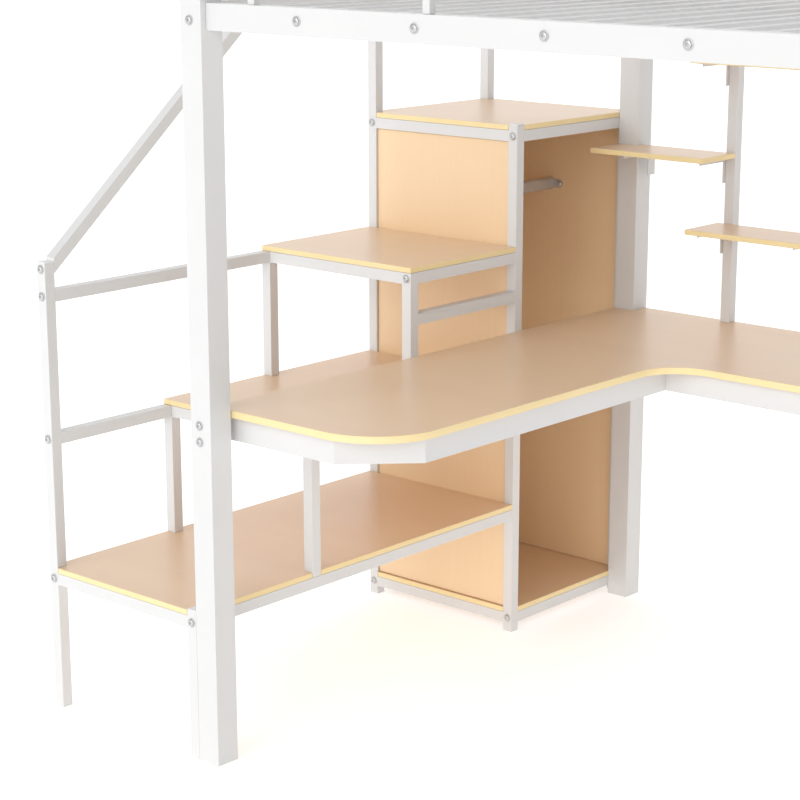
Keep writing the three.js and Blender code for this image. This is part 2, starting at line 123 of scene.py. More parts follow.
# %% Signals and finishes
class Signal:
    """One output socket of a graph, to be added, subtracted and multiplied."""

    def __init__(self, graph, socket):
        self.graph = graph
        self.socket = socket

    def _maths(self, operation, first, second):
        return self.graph.node("ShaderNodeMath", {"operation": operation}, {0: first, 1: second})

    def __add__(self, other):
        return self._maths("ADD", self, other)

    def __radd__(self, other):
        return self._maths("ADD", other, self)

    def __sub__(self, other):
        return self._maths("SUBTRACT", self, other)

    def __rsub__(self, other):
        return self._maths("SUBTRACT", other, self)

    def __mul__(self, other):
        return self._maths("MULTIPLY", self, other)

    def __rmul__(self, other):
        return self._maths("MULTIPLY", other, self)


class Graph:
    """A tree of nodes that ends in one shader."""

    def __init__(self, tree, shader_name):
        self.tree = tree
        self.shader = tree.nodes[shader_name]

    def node(self, kind, settings=None, sockets=None, output=0):
        made = self.tree.nodes.new(kind)
        for key, value in (settings or {}).items():
            setattr(made, key, value)
        for key, value in (sockets or {}).items():
            if isinstance(value, Signal):
                self.tree.links.new(value.socket, made.inputs[key])
            else:
                made.inputs[key].default_value = value
        return Signal(self, made.outputs[output])

    def stretched(self, scale, shift=(0, 0, 0)):
        """Object coordinates times a scale, in cycles per metre along each axis."""
        place = self.node("ShaderNodeTexCoord", output=3)
        return self.node("ShaderNodeMapping", {}, {"Vector": place, "Scale": scale, "Location": shift})

    def noise(self, vector, detail=2.0, roughness=0.5):
        sockets = {"Vector": vector, "Scale": 1.0, "Detail": detail, "Roughness": roughness}
        return self.node("ShaderNodeTexNoise", {}, sockets)

    def level(self, value, low, high, to_low=0.0, to_high=1.0):
        """A value moved from one range to another, and held inside the new one."""
        sockets = {"Value": value, "From Min": low, "From Max": high, "To Min": to_low, "To Max": to_high}
        return self.node("ShaderNodeMapRange", {}, sockets)

    def mix(self, factor, first, second):
        sockets = {0: factor, 6: first, 7: second}
        return self.node("ShaderNodeMix", {"data_type": "RGBA"}, sockets, output=2)

    def feed(self, socket_name, signal):
        self.tree.links.new(signal.socket, self.shader.inputs[socket_name])

    def bump(self, height, depth, strength):
        sockets = {"Height": height, "Distance": depth, "Strength": strength}
        self.feed("Normal", self.node("ShaderNodeBump", {}, sockets))


class Finish(Graph):
    """A material on the principled shader. Constants are set on the shader's own sockets."""

    def __init__(self, name, **constants):
        self.material = bpy.data.materials.new(name)
        self.material.use_nodes = True
        super().__init__(self.material.node_tree, "Principled BSDF")
        for socket_name, value in constants.items():
            self.shader.inputs[socket_name.replace("_", " ")].default_value = value


def rgb(red, green, blue):
    return (red, green, blue, 1.0)

# %% [markdown]
# ## Powder coat
#
# The tubes are sprayed with powder that melts to a tough satin skin. It isn't quite smooth: it has
# a fine orange peel, a few millimetres across, and its shine changes a little from place to place.
# Noise on Object coordinates gives both, so a pattern never slides on a tube.
# One function makes the white of the frame, the light grey of the slats and the grey of the rod.

# %% Powder-coated steel
def powder_coat(name, light, dark, roughness, metallic):
    coat = Finish(name, Metallic=metallic)
    cloud = coat.noise(coat.stretched((7, 7, 7)), 3)
    peel = coat.noise(coat.stretched((420, 420, 420)), 2)
    speck = coat.noise(coat.stretched((1900, 1900, 1900)), 1)
    tone = coat.level(cloud * 0.7 + peel * 0.2 + speck * 0.1, 0.3, 0.7)
    coat.feed("Base Color", coat.mix(tone, dark, light))
    coat.feed("Roughness", coat.level(cloud * 0.6 + peel * 0.4, 0.3, 0.7, roughness - 0.05, roughness + 0.06))
    coat.bump(peel * 0.8 + speck * 0.2, 0.00012, 0.55)
    return coat.material


white_steel = powder_coat("white_powder_coat", rgb(0.725, 0.725, 0.722), rgb(0.7, 0.7, 0.7), 0.38, 0.0)
grey_slats = powder_coat("grey_slat_coat", rgb(0.66, 0.66, 0.66), rgb(0.61, 0.61, 0.615), 0.44, 0.0)
rod_steel = powder_coat("grey_rod_coat", rgb(0.6, 0.575, 0.56), rgb(0.53, 0.51, 0.5), 0.34, 0.35)
print("coats:", white_steel.name, grey_slats.name, rod_steel.name)

# %% [markdown]
# ## Maple laminate
#
# The boards are chipboard with a printed maple skin. Maple is pale and even: faint broad bands,
# fine straight streaks and short darker flecks, all drawn out along the grain. Stretching the noise
# along one axis gives the grain its direction: along X on the levels, upright on the panels.

# %% Laminate with its grain along an axis
def along_axis(axis, along, across):
    return tuple(along if i == axis else across for i in range(3))


def maple(name, axis, pale, mid, deep, shift):
    board = Finish(name)
    bands = board.noise(board.stretched(along_axis(axis, 0.9, 9.0), shift), 3, 0.55)
    streaks = board.noise(board.stretched(along_axis(axis, 3.2, 150.0), shift), 5, 0.62)
    flecks = board.noise(board.stretched(along_axis(axis, 28.0, 900.0), shift), 2, 0.5)
    tone = board.level(bands * 0.55 + streaks * 0.45, 0.36, 0.64)
    fleck = board.level(flecks, 0.6, 0.78)
    base = board.mix(tone, mid, pale)
    board.feed("Base Color", board.mix(fleck * 0.35, base, deep))
    board.feed("Roughness", board.level(streaks, 0.3, 0.7, 0.29, 0.37))
    board.bump(streaks * 0.6 - fleck * 0.4, 0.00009, 0.5)
    return board.material


laminate_boards = maple(
    "maple_boards",
    axis=0,
    pale=rgb(0.82, 0.6, 0.41),
    mid=rgb(0.785, 0.565, 0.38),
    deep=rgb(0.65, 0.45, 0.285),
    shift=(0.3, 1.7, 0.9),
)
laminate_panels = maple(
    "maple_panels",
    axis=2,
    pale=rgb(0.9, 0.672, 0.432),
    mid=rgb(0.875, 0.645, 0.408),
    deep=rgb(0.76, 0.545, 0.335),
    shift=(2.3, 0.4, 1.9),
)
print("laminates:", laminate_boards.name, laminate_panels.name)

# %% [markdown]
# ## Edge band
#
# The cut edges are closed with a band of plastic, glued on hot. It is yellower and a little
# glossier than the face, and its printed lines run along the edge, so they are level all round.

# %% Edge band
def edge_tape(name, pale, deep):
    tape = Finish(name)
    lines = tape.noise(tape.stretched((4.0, 4.0, 700.0)), 4, 0.6)
    drift = tape.noise(tape.stretched((11.0, 11.0, 30.0)), 2)
    tape.feed("Base Color", tape.mix(tape.level(lines * 0.6 + drift * 0.4, 0.35, 0.65), deep, pale))
    tape.feed("Roughness", tape.level(lines, 0.3, 0.7, 0.36, 0.46))
    tape.bump(lines, 0.00006, 0.5)
    return tape.material


edge_band = edge_tape("yellow_edge_band", rgb(0.92, 0.75, 0.42), rgb(0.88, 0.695, 0.355))
print("edge:", edge_band.name)

# %% [markdown]
# ## Zinc and plastic
#
# The bolts are zinc plated: metal, bright, with a fine scratchy bloom. The caps in the tube ends are
# moulded in white plastic with a fine eroded skin, a little warmer and duller than the powder coat.

# %% Bolt zinc and cap plastic
def bright_zinc(name):
    zinc = Finish(name, Metallic=1.0)
    bloom = zinc.noise(zinc.stretched((260, 260, 260)), 4, 0.6)
    scratch = zinc.noise(zinc.stretched((2600, 380, 2600)), 2)
    zinc.feed("Base Color", zinc.mix(bloom, rgb(0.5, 0.505, 0.51), rgb(0.68, 0.68, 0.685)))
    zinc.feed("Roughness", zinc.level(bloom * 0.6 + scratch * 0.4, 0.3, 0.7, 0.22, 0.42))
    zinc.bump(scratch, 0.00003, 0.4)
    return zinc.material


def cap_moulding(name):
    plastic = Finish(name)
    erosion = plastic.noise(plastic.stretched((1500, 1500, 1500)), 2)
    drift = plastic.noise(plastic.stretched((30, 30, 30)), 2)
    plastic.feed("Base Color", plastic.mix(drift, rgb(0.79, 0.785, 0.775), rgb(0.83, 0.825, 0.815)))
    plastic.feed("Roughness", plastic.level(erosion, 0.3, 0.7, 0.5, 0.62))
    plastic.bump(erosion, 0.00005, 0.5)
    return plastic.material


bolt_zinc = bright_zinc("bright_zinc")
cap_plastic = cap_moulding("white_cap_plastic")
print("fittings:", bolt_zinc.name, cap_plastic.name)

# %% [markdown]
# ## Finishes on the CAD nodes
#
# The tubes and boards already have their right shape, so they stay and are given their finish.
# A board has two: the skin on its broad faces, and the band on its narrow ones. Which face is
# which follows from its normal, so each polygon gets its slot by number.

# %% Give each node its finish
finish_for = {
    "white_steel": white_steel,
    "grey_slats": grey_slats,
    "rod_steel": rod_steel,
    "laminate_boards": laminate_boards,
    "laminate_panels": laminate_panels,
}
broad_axis = {"wardrobe_front_panel": 1, "wardrobe_back_panel": 1, "wardrobe_left_panel": 0}

for node_name, node in frame["nodes"].items():
    skin = finish_for[slot_of[node_name]]
    node.data.materials.clear()
    node.data.materials.append(skin)
    if slot_of[node_name].startswith("laminate"):
        node.data.materials.append(edge_band)
        axis = broad_axis.get(node_name, 2)
        for polygon in node.data.polygons:
            polygon.material_index = 0 if abs(polygon.normal[axis]) > 0.5 else 1
print("finished nodes:", len(frame["nodes"]))

# %% [markdown]
# ## Rounded edges
#
# No real edge is perfectly sharp: bent tube has a small radius, and a band is scraped round.
# A CAD mesh is loose triangles, so a Weld modifier joins them before a Bevel rounds the edges.
# A tube's wall is thin, which keeps its bevel below half the wall.

# %% Weld and bevel modifiers
WELD_WITHIN = 0.02 * MM
BOARD_ROUND = 1.2 * MM
POST_ROUND = 0.95 * MM
TUBE_ROUND = 0.6 * MM


def round_edges(node, width):
    weld = node.modifiers.new("join_triangles", "WELD")
    weld.merge_threshold = WELD_WITHIN
    bevel = node.modifiers.new("round_edges", "BEVEL")
    bevel.width = width
    bevel.segments = 2
    bevel.limit_method = "ANGLE"
    bevel.angle_limit = math.radians(40)
    bevel.use_clamp_overlap = False


for node_name, node in frame["nodes"].items():
    if slot_of[node_name].startswith("laminate"):
        round_edges(node, BOARD_ROUND)
    elif node_name.startswith("post_"):
        round_edges(node, POST_ROUND)
    elif slot_of[node_name] != "rod_steel":
        round_edges(node, TUBE_ROUND)
print("rounded nodes:", sum(1 for node in frame["nodes"].values() if node.modifiers))

# %% [markdown]
# ## Working by hand, in code
#
# New pieces are modelled with Blender's own tools: add a primitive, shape it in edit mode, finish
# it with modifiers. A tool acts on all that is selected, so faces and edges are picked by a test
# on their place or direction. A finished piece is moved in its mesh and sits at the origin.

# %% Selecting, starting and finishing a piece
def deselect_all():
    bpy.ops.object.select_all(action="DESELECT")


def start_editing():
    bpy.ops.object.mode_set(mode="EDIT")
    bpy.ops.mesh.select_all(action="DESELECT")


def stop_editing():
    bpy.ops.object.mode_set(mode="OBJECT")


def pick_faces(test):
    """Selects the faces whose centre and normal pass the test, and no others."""
    bpy.ops.mesh.select_mode(type="FACE")
    mesh = bpy.context.object.data
    edited = bmesh.from_edit_mesh(mesh)
    for face in edited.faces:
        face.select_set(False)
    for face in edited.faces:
        if test(face.calc_center_median(), face.normal):
            face.select_set(True)
    bmesh.update_edit_mesh(mesh)


def pick_edges(test):
    """Selects the edges whose middle and direction pass the test, and no others."""
    bpy.ops.mesh.select_mode(type="EDGE")
    mesh = bpy.context.object.data
    edited = bmesh.from_edit_mesh(mesh)
    for edge in edited.edges:
        edge.select_set(False)
    for edge in edited.edges:
        first, second = (vertex.co for vertex in edge.verts)
        if test((first + second) / 2, (second - first).normalized()):
            edge.select_set(True)
    bmesh.update_edit_mesh(mesh)


def apply_all(piece):
    """Applies the modifiers in their order, then the object's own place, turn and scale."""
    deselect_all()
    piece.select_set(True)
    bpy.context.view_layer.objects.active = piece
    for name in [modifier.name for modifier in piece.modifiers]:
        bpy.ops.object.modifier_apply(modifier=name)
    bpy.ops.object.transform_apply(location=True, rotation=True, scale=True)

# %% [markdown]
# ## A bolt
#
# Every joint is held by a button-head bolt on a washer, turned with a hexagon key. It could be a
# plain disc from afar, but its ring, dome and socket catch the light in three steps, and that is
# what makes it read as a bolt. The washer is a low cylinder; insets with a rise build the dome from
# its top face, and a six-sided cylinder is subtracted for the socket.

# %% Model the bolt once
WASHER_RADIUS = 9.5 * MM
WASHER_THICK = 1.4 * MM
KEY_RADIUS = 2.9 * MM


def model_bolt():
    deselect_all()
    bpy.ops.mesh.primitive_cylinder_add(
        vertices=28, radius=WASHER_RADIUS, depth=WASHER_THICK, location=(0, 0, WASHER_THICK / 2)
    )
    bolt = bpy.context.object
    bolt.name = "bolt_model"
    bpy.ops.object.transform_apply(location=True, rotation=True, scale=True)
    start_editing()
    pick_faces(lambda centre, normal: normal.z > 0.9)
    for thickness, rise in ((0.5, 0.25), (1.5, -0.1), (0.05, 1.5), (0.5, 0.85), (1.0, 0.7), (1.3, 0.35)):
        bpy.ops.mesh.inset(thickness=thickness * MM, depth=rise * MM)
    stop_editing()
    deselect_all()
    bpy.ops.mesh.primitive_cylinder_add(
        vertices=6, radius=KEY_RADIUS, depth=5 * MM, location=(0, 0, 5.2 * MM)
    )
    key = bpy.context.object
    socket = bolt.modifiers.new("hexagon_socket", "BOOLEAN")
    socket.operation = "DIFFERENCE"
    socket.solver = "EXACT"
    socket.object = key
    apply_all(bolt)
    bpy.data.objects.remove(key)
    bpy.ops.object.shade_smooth_by_angle(angle=SMOOTH_BELOW)
    return bolt


bolt_model = model_bolt()
print("bolt faces:", len(bolt_model.data.polygons), "height mm:", round(bolt_model.dimensions.z / MM, 2))

# %% [markdown]
# ## Copies of a model
#
# A model stands on the origin and points up. A copy gets its own mesh, is turned about its axis,
# faced outwards and moved to its place. Each takes its finish, its slot and the body it rides on.

# %% Stamp a copy
FACING = {
    "front": Matrix.Rotation(math.radians(90), 4, "X"),
    "back": Matrix.Rotation(math.radians(-90), 4, "X"),
    "right": Matrix.Rotation(math.radians(90), 4, "Y"),
    "left": Matrix.Rotation(math.radians(-90), 4, "Y"),
    "up": Matrix.Identity(4),
    "down": Matrix.Rotation(math.radians(180), 4, "X"),
}
made_pieces = []


def settle(piece, finish):
    """The last step of every new piece: finish, slot and body."""
    piece.data.materials.clear()
    piece.data.materials.append(finish)
    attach(piece, "root")
    made_pieces.append(piece)


def stamp(model, name, at, facing, finish, spin=0.0, scale=1.0):
    piece = bpy.data.objects.new(name, model.data.copy())
    bpy.context.scene.collection.objects.link(piece)
    spun = Matrix.Rotation(spin, 4, "Z") @ Matrix.Scale(scale, 4)
    piece.data.transform(Matrix.Translation(Vector(at)) @ FACING[facing] @ spun)
    settle(piece, finish)

# %% [markdown]
# ## Where the bolts sit
#
# The places come from the CAD boxes. Six bolts hold the slat ledge to each side rail, one holds each
# rail to its post, two hold the desk rail to each left post, and one holds each lengthwise tube of
# the stairs and the wardrobe to the upright in front of it.

# %% Bolt places
LEDGE_BOLTS = 6
FIRST_LEDGE_BOLT = 289 * MM
LEDGE_BOLT_PITCH = 277.4 * MM
DESK_BOLT_RISES = (16 * MM, -17 * MM)


def middle(node_name):
    low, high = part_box(node_name)
    return (low + high) / 2


bed_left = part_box("post_front_left")[0].x
rail_level = middle("side_rail_front").z + 1 * MM
post_level = middle("side_rail_front").z - 7 * MM
desk_level = middle("desk_wing_frame").z
bolt_places = []

for side, node_name in (("front", "side_rail_front"), ("back", "side_rail_back")):
    low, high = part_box(node_name)
    face = low.y if side == "front" else high.y
    for k in range(LEDGE_BOLTS):
        x = bed_left + FIRST_LEDGE_BOLT + LEDGE_BOLT_PITCH * k
        bolt_places.append((f"bolt_rail_{side}_{k + 1}", (x, face, rail_level), side))

for side in ("front", "back"):
    for hand in ("left", "right"):
        low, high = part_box(f"post_{side}_{hand}")
        face = low.y if side == "front" else high.y
        x = middle(f"post_{side}_{hand}").x
        inner = x - 3 * MM if hand == "left" else x + 3 * MM
        bolt_places.append((f"bolt_post_{side}_{hand}", (inner, face, post_level), side))
        if (side, hand) != ("front", "right"):
            for k, rise in enumerate(DESK_BOLT_RISES):
                place = (inner, face, desk_level + rise)
                bolt_places.append((f"bolt_desk_{side}_{hand}_{k + 1}", place, side))

stair_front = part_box("stair_front_frame")[0].y
stair_left = middle("step_rail_1_left").x
stair_right = middle("step_rail_1_right").x
handrail_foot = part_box("handrail")[0].z + 10 * MM
front_levels = [
    handrail_foot,
    middle("side_bar_high").z,
    middle("side_bar_low").z,
    middle("step_rail_1_left").z,
]
for k, level in enumerate(front_levels):
    bolt_places.append((f"bolt_stair_front_left_{k + 1}", (stair_left, stair_front, level), "front"))
bolt_places.append(("bolt_stair_front_right", (stair_right, stair_front, front_levels[3]), "front"))

for step in (2, 3):
    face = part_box(f"step_frame_{step}")[0].y
    level = middle(f"step_rail_{step}_right").z
    bolt_places.append((f"bolt_step_{step}_right", (stair_right, face, level), "front"))

for side, node_name in (("front", "wardrobe_front_frame"), ("back", "wardrobe_back_frame")):
    low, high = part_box(node_name)
    face = low.y if side == "front" else high.y
    for level_name in ("top", "bottom"):
        level = middle(f"wardrobe_rail_{level_name}_left").z
        for hand, x in (("left", stair_left), ("right", stair_right)):
            bolt_places.append((f"bolt_wardrobe_{side}_{level_name}_{hand}", (x, face, level), side))
print("bolt places:", len(bolt_places))

# %% Stamp the bolts
turns = random.Random(7)
for name, place, facing in bolt_places:
    stamp(bolt_model, name, place, facing, bolt_zinc, spin=turns.uniform(0, math.pi))
bpy.data.objects.remove(bolt_model)
print("bolts:", len(bolt_places))

# %% [markdown]
# ## Caps in the tube ends
#
# The posts and uprights are open at the top and closed with a moulded cap: a low crowned lid and a
# tapered plug that grips inside the tube. A flat plate would do for the lid, but the crown and
# its rounded corners are what the eye finds. A block gets its top raised by insets, its underside
# inset and drawn down for the plug, and last its four upright edges bevelled: an inset wider than
# a round corner would turn the corner over.

# %% Model a cap for a square tube
POST_WALL = 2 * MM
TUBE_WALL = 1.5 * MM
BAR_WALL = 1.2 * MM
CAP_LIFT = 0.1 * MM


def model_cap(name, width, wall, lid, plug):
    deselect_all()
    bpy.ops.mesh.primitive_cube_add(size=1, location=(0, 0, lid / 2))
    cap = bpy.context.object
    cap.name = name
    cap.scale = (width, width, lid)
    bpy.ops.object.transform_apply(location=True, rotation=True, scale=True)
    start_editing()
    pick_faces(lambda centre, normal: normal.z > 0.9)
    for thickness, rise in ((0.5 * MM, 0.35 * MM), (width * 0.08, 0.45 * MM), (width * 0.18, 0.3 * MM)):
        bpy.ops.mesh.inset(thickness=thickness, depth=rise)
    pick_faces(lambda centre, normal: normal.z < -0.9)
    bpy.ops.mesh.inset(thickness=wall + 0.25 * MM, depth=0)
    bpy.ops.mesh.extrude_region_move(TRANSFORM_OT_translate={"value": (0, 0, -plug)})
    bpy.ops.mesh.inset(thickness=1.2 * MM, depth=0.6 * MM)
    pick_edges(lambda centre, direction: abs(direction.z) > 0.9 and abs(centre.x) > width * 0.49)
    bpy.ops.mesh.bevel(offset=width * 0.04, segments=3, affect="EDGES")
    stop_editing()
    apply_all(cap)
    bpy.ops.object.shade_smooth_by_angle(angle=SMOOTH_BELOW)
    return cap


def node_top(node_name):
    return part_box(node_name)[1].z


post_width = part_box("post_front_left")[1].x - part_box("post_front_left")[0].x
tube_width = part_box("step_rail_1_left")[1].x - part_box("step_rail_1_left")[0].x
post_cap = model_cap("post_cap_model", post_width, POST_WALL, lid=3 * MM, plug=14 * MM)
tube_cap = model_cap("tube_cap_model", tube_width, TUBE_WALL, lid=2 * MM, plug=10 * MM)
print("cap faces:", len(post_cap.data.polygons), len(tube_cap.data.polygons))

# %% Stamp the caps
cap_places = []
for side in ("front", "back"):
    for hand in ("left", "right"):
        centre = middle(f"post_{side}_{hand}")
        place = (centre.x, centre.y, node_top(f"post_{side}_{hand}") + CAP_LIFT)
        cap_places.append((f"cap_post_{side}_{hand}", post_cap, place))
    frame_node = f"wardrobe_{side}_frame"
    depth = middle(frame_node).y
    top = node_top(frame_node) + CAP_LIFT
    cap_places.append((f"cap_wardrobe_{side}_left", tube_cap, (stair_left, depth, top)))
    landing = node_top("landing_board") + CAP_LIFT
    cap_places.append((f"cap_wardrobe_{side}_right", tube_cap, (stair_right, depth, landing)))
stair_depth = middle("stair_front_frame").y
stair_top = node_top("stair_front_frame") + CAP_LIFT
first_step = node_top("step_board_1") + CAP_LIFT
cap_places.append(("cap_stair_left", tube_cap, (stair_left, stair_depth, stair_top)))
cap_places.append(("cap_stair_right", tube_cap, (stair_right, stair_depth, first_step)))
for name, model, place in cap_places:
    stamp(model, name, place, "up", cap_plastic)
print("upright caps:", len(cap_places))

# %% [markdown]
# The left guard ends in the air, where a person steps from the landing on to the bed. Its top rail
# and its middle rail end there open, so each gets a cap that faces the back.

# %% Caps on the guard's free end
BAR_WIDTH = 16 * MM
GUARD_MIDDLE_TOP = 1690 * MM

bar_cap = model_cap("bar_cap_model", BAR_WIDTH, BAR_WALL, lid=1.4 * MM, plug=8 * MM)
low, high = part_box("guard_left")
across = (low.x + high.x) / 2
guard_end = high.y + CAP_LIFT
mid_rail = GUARD_MIDDLE_TOP - BAR_WIDTH / 2
top_end = (across, guard_end, high.z - tube_width / 2)
middle_end = (across, guard_end, mid_rail)
stamp(tube_cap, "cap_guard_top", top_end, "back", cap_plastic)
stamp(bar_cap, "cap_guard_middle", middle_end, "back", cap_plastic)
for model in (post_cap, tube_cap, bar_cap):
    bpy.data.objects.remove(model)
print("guard end at", round(guard_end, 4))

# %% [markdown]
# The handrail is cut upright at its foot and stands a little above the post in front of it, so its
# end shows. A plug closes it, flush with the cut. It is a block that follows the rail's slope: its
# far face is raised in edit mode, and its near face gets an inset and a crown.

# %% Plug in the handrail's foot
def handrail_plug():
    low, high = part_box("handrail")
    rise = high.z - low.z
    run = high.y - low.y
    slant = math.hypot(run, rise - tube_width) / run
    tall = tube_width * slant
    depth = 9 * MM
    deselect_all()
    centre = ((low.x + high.x) / 2, low.y + depth / 2 + 0.2 * MM, low.z + tall / 2)
    bpy.ops.mesh.primitive_cube_add(size=1, location=centre)
    plug = bpy.context.object
    plug.name = "cap_handrail"
    across = tube_width - 2 * TUBE_WALL - 0.2 * MM
    plug.scale = (across, depth, tall - 2 * TUBE_WALL * slant - 0.4 * MM)
    bpy.ops.object.transform_apply(location=True, rotation=True, scale=True)
    start_editing()
    pick_faces(lambda centre, normal: normal.y > 0.9)
    lift = depth * (rise - tall) / run
    bpy.ops.transform.translate(value=(0, 0, lift))
    pick_faces(lambda centre, normal: normal.y < -0.9)
    for thickness, out in ((0.5, 0.4), (1.8, 0.4), (4.0, 0.2)):
        bpy.ops.mesh.inset(thickness=thickness * MM, depth=out * MM)
    stop_editing()
    apply_all(plug)
    bpy.ops.object.shade_smooth_by_angle(angle=SMOOTH_BELOW)
    settle(plug, cap_plastic)
    return plug


foot_plug = handrail_plug()
print("handrail plug faces:", len(foot_plug.data.polygons))

# %% [markdown]
# ## Rod brackets
#
# The hanging rod is held between two panels. Each of its ends stands on a small steel plate which
# shows on both sides of the rod as a rounded tab with a screw head in it. A cube scaled flat, with
# its upright edges bevelled to full rounds, is that plate, and the copies face each other.

# %% Model and place the rod brackets
TAB_WIDE = 68 * MM
TAB_TALL = 20 * MM
TAB_THICK = 1.6 * MM
TAB_SCREW = 24 * MM


def model_tab():
    deselect_all()
    bpy.ops.mesh.primitive_cube_add(size=1, location=(0, 0, TAB_THICK / 2))
    tab = bpy.context.object
    tab.name = "rod_tab_model"
    tab.scale = (TAB_WIDE, TAB_TALL, TAB_THICK)
    bpy.ops.object.transform_apply(location=True, rotation=True, scale=True)
    start_editing()
    pick_edges(lambda centre, direction: abs(direction.z) > 0.9)
    bpy.ops.mesh.bevel(offset=TAB_TALL * 0.47, segments=6, affect="EDGES")
    stop_editing()
    soften = tab.modifiers.new("soft_edges", "BEVEL")
    soften.width = 0.35 * MM
    soften.segments = 2
    soften.limit_method = "ANGLE"
    apply_all(tab)
    bpy.ops.object.shade_smooth_by_angle(angle=SMOOTH_BELOW)
    return tab


tab_model = model_tab()
rod_low, rod_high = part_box("hanging_rod")
rod_x = (rod_low.x + rod_high.x) / 2
rod_z = (rod_low.z + rod_high.z) / 2
for name, y, facing in (("front", rod_low.y, "back"), ("back", rod_high.y, "front")):
    stamp(tab_model, f"rod_tab_{name}", (rod_x, y, rod_z), facing, rod_steel)
bpy.data.objects.remove(tab_model)
print("rod brackets at", round(rod_x, 4), round(rod_z, 4))

# %% [markdown]
# ## Screws
#
# The shelf brackets are screwed to their posts and from below into the shelves, and the rod's
# plates to the panels. These are small pan heads with a cross recess: a dome raised by insets, and
# two crossed slots cut from it. The rod's screws are the same model at nearly twice the size.

# %% Model and stamp the screws
SCREW_RADIUS = 3.6 * MM
SLOT_LONG = 3.6 * MM
SLOT_WIDE = 0.8 * MM
SLOT_DEEP = 2.6 * MM
SCREW_DROPS = (20 * MM, 44 * MM)
BRACKET_THICK = 3 * MM
ROD_SCREW_SCALE = 1.9


def model_screw():
    deselect_all()
    bpy.ops.mesh.primitive_cylinder_add(
        vertices=20, radius=SCREW_RADIUS, depth=0.8 * MM, location=(0, 0, 0.4 * MM)
    )
    screw = bpy.context.object
    screw.name = "screw_model"
    bpy.ops.object.transform_apply(location=True, rotation=True, scale=True)
    start_editing()
    pick_faces(lambda centre, normal: normal.z > 0.9)
    for thickness, rise in ((0.35, 0.55), (0.8, 0.5), (1.0, 0.25)):
        bpy.ops.mesh.inset(thickness=thickness * MM, depth=rise * MM)
    stop_editing()
    slots = []
    for scale in ((SLOT_LONG, SLOT_WIDE, SLOT_DEEP), (SLOT_WIDE, SLOT_LONG, SLOT_DEEP)):
        deselect_all()
        bpy.ops.mesh.primitive_cube_add(size=1, location=(0, 0, 2.5 * MM))
        blade = bpy.context.object
        blade.scale = scale
        cut = screw.modifiers.new("cross_slot", "BOOLEAN")
        cut.operation = "DIFFERENCE"
        cut.solver = "EXACT"
        cut.object = blade
        slots.append(blade)
    apply_all(screw)
    for blade in slots:
        bpy.data.objects.remove(blade)
    bpy.ops.object.shade_smooth_by_angle(angle=SMOOTH_BELOW)
    return screw


screw_model = model_screw()
screw_places = []
for level_name in ("low", "middle", "high"):
    for hand in ("left", "right"):
        low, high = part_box(f"bracket_{level_name}_{hand}")
        on_bed_post = level_name == "middle" and hand == "left"
        depth = high.y - 10 * MM
        plate = high.x - BRACKET_THICK
        name = f"screw_{level_name}_{hand}"
        if not on_bed_post:
            for k, drop in enumerate(SCREW_DROPS):
                screw_places.append((f"{name}_{k + 1}", (plate, depth, high.z - drop), "left"))
        under = ((low.x + plate) / 2, low.y + 30 * MM, high.z - BRACKET_THICK)
        screw_places.append((f"{name}_under", under, "down"))
for name, place, facing in screw_places:
    stamp(screw_model, name, place, facing, bolt_zinc, spin=turns.uniform(0, 1.5))

rod_ends = (("front", rod_low.y + TAB_THICK, "back"), ("back", rod_high.y - TAB_THICK, "front"))
for name, y, facing in rod_ends:
    for hand, x in (("left", rod_x - TAB_SCREW), ("right", rod_x + TAB_SCREW)):
        spot = (x, y, rod_z)
        copy = f"screw_rod_{name}_{hand}"
        stamp(screw_model, copy, spot, facing, bolt_zinc, spin=0.6, scale=ROD_SCREW_SCALE)
bpy.data.objects.remove(screw_model)
print("screws:", len(screw_places) + 2 * len(rod_ends))

# %% [markdown]
# ## Weld beads
#
# The cross tubes of the frames and the bars of the guards are welded, and the weld stays as a small
# uneven bead along the inside corner, under the coat. A bead is a thin round bar whose middle lies
# on the corner: it is cut into short lengths, roughened by a Displace modifier, and half of it
# stays inside the tubes.

# %% Model a weld bead
BEAD_RADIUS = 1.7 * MM


def model_bead(name, length):
    deselect_all()
    bpy.ops.mesh.primitive_cylinder_add(vertices=10, radius=BEAD_RADIUS, depth=length)
    bead = bpy.context.object
    bead.name = name
    start_editing()
    pick_edges(lambda centre, direction: abs(direction.z) > 0.9)
    bpy.ops.mesh.subdivide(number_cuts=9)
    pick_faces(lambda centre, normal: abs(normal.z) > 0.9)
    bpy.ops.mesh.inset(thickness=0.5 * MM, depth=0.3 * MM)
    stop_editing()
    ripple = bpy.data.textures.new(name + "_ripple", "CLOUDS")
    ripple.noise_scale = 0.0022
    rough = bead.modifiers.new("ripple", "DISPLACE")
    rough.texture = ripple
    rough.texture_coords = "LOCAL"
    rough.strength = 0.9 * MM
    rough.mid_level = 0.5
    apply_all(bead)
    bpy.ops.object.shade_smooth()
    return bead


tube_bead = model_bead("tube_bead_model", tube_width - 2 * MM)
bar_bead = model_bead("bar_bead_model", BAR_WIDTH - 1 * MM)
print("bead faces:", len(tube_bead.data.polygons))

# %% [markdown]
# A cross tube meets its uprights below the board, so its beads show from below. A guard's bars meet
# the top rail from below too, with a bead on each side of every bar.

# %% Stamp the beads
def bead(model, name, at, facing):
    stamp(model, name, at, facing, white_steel)


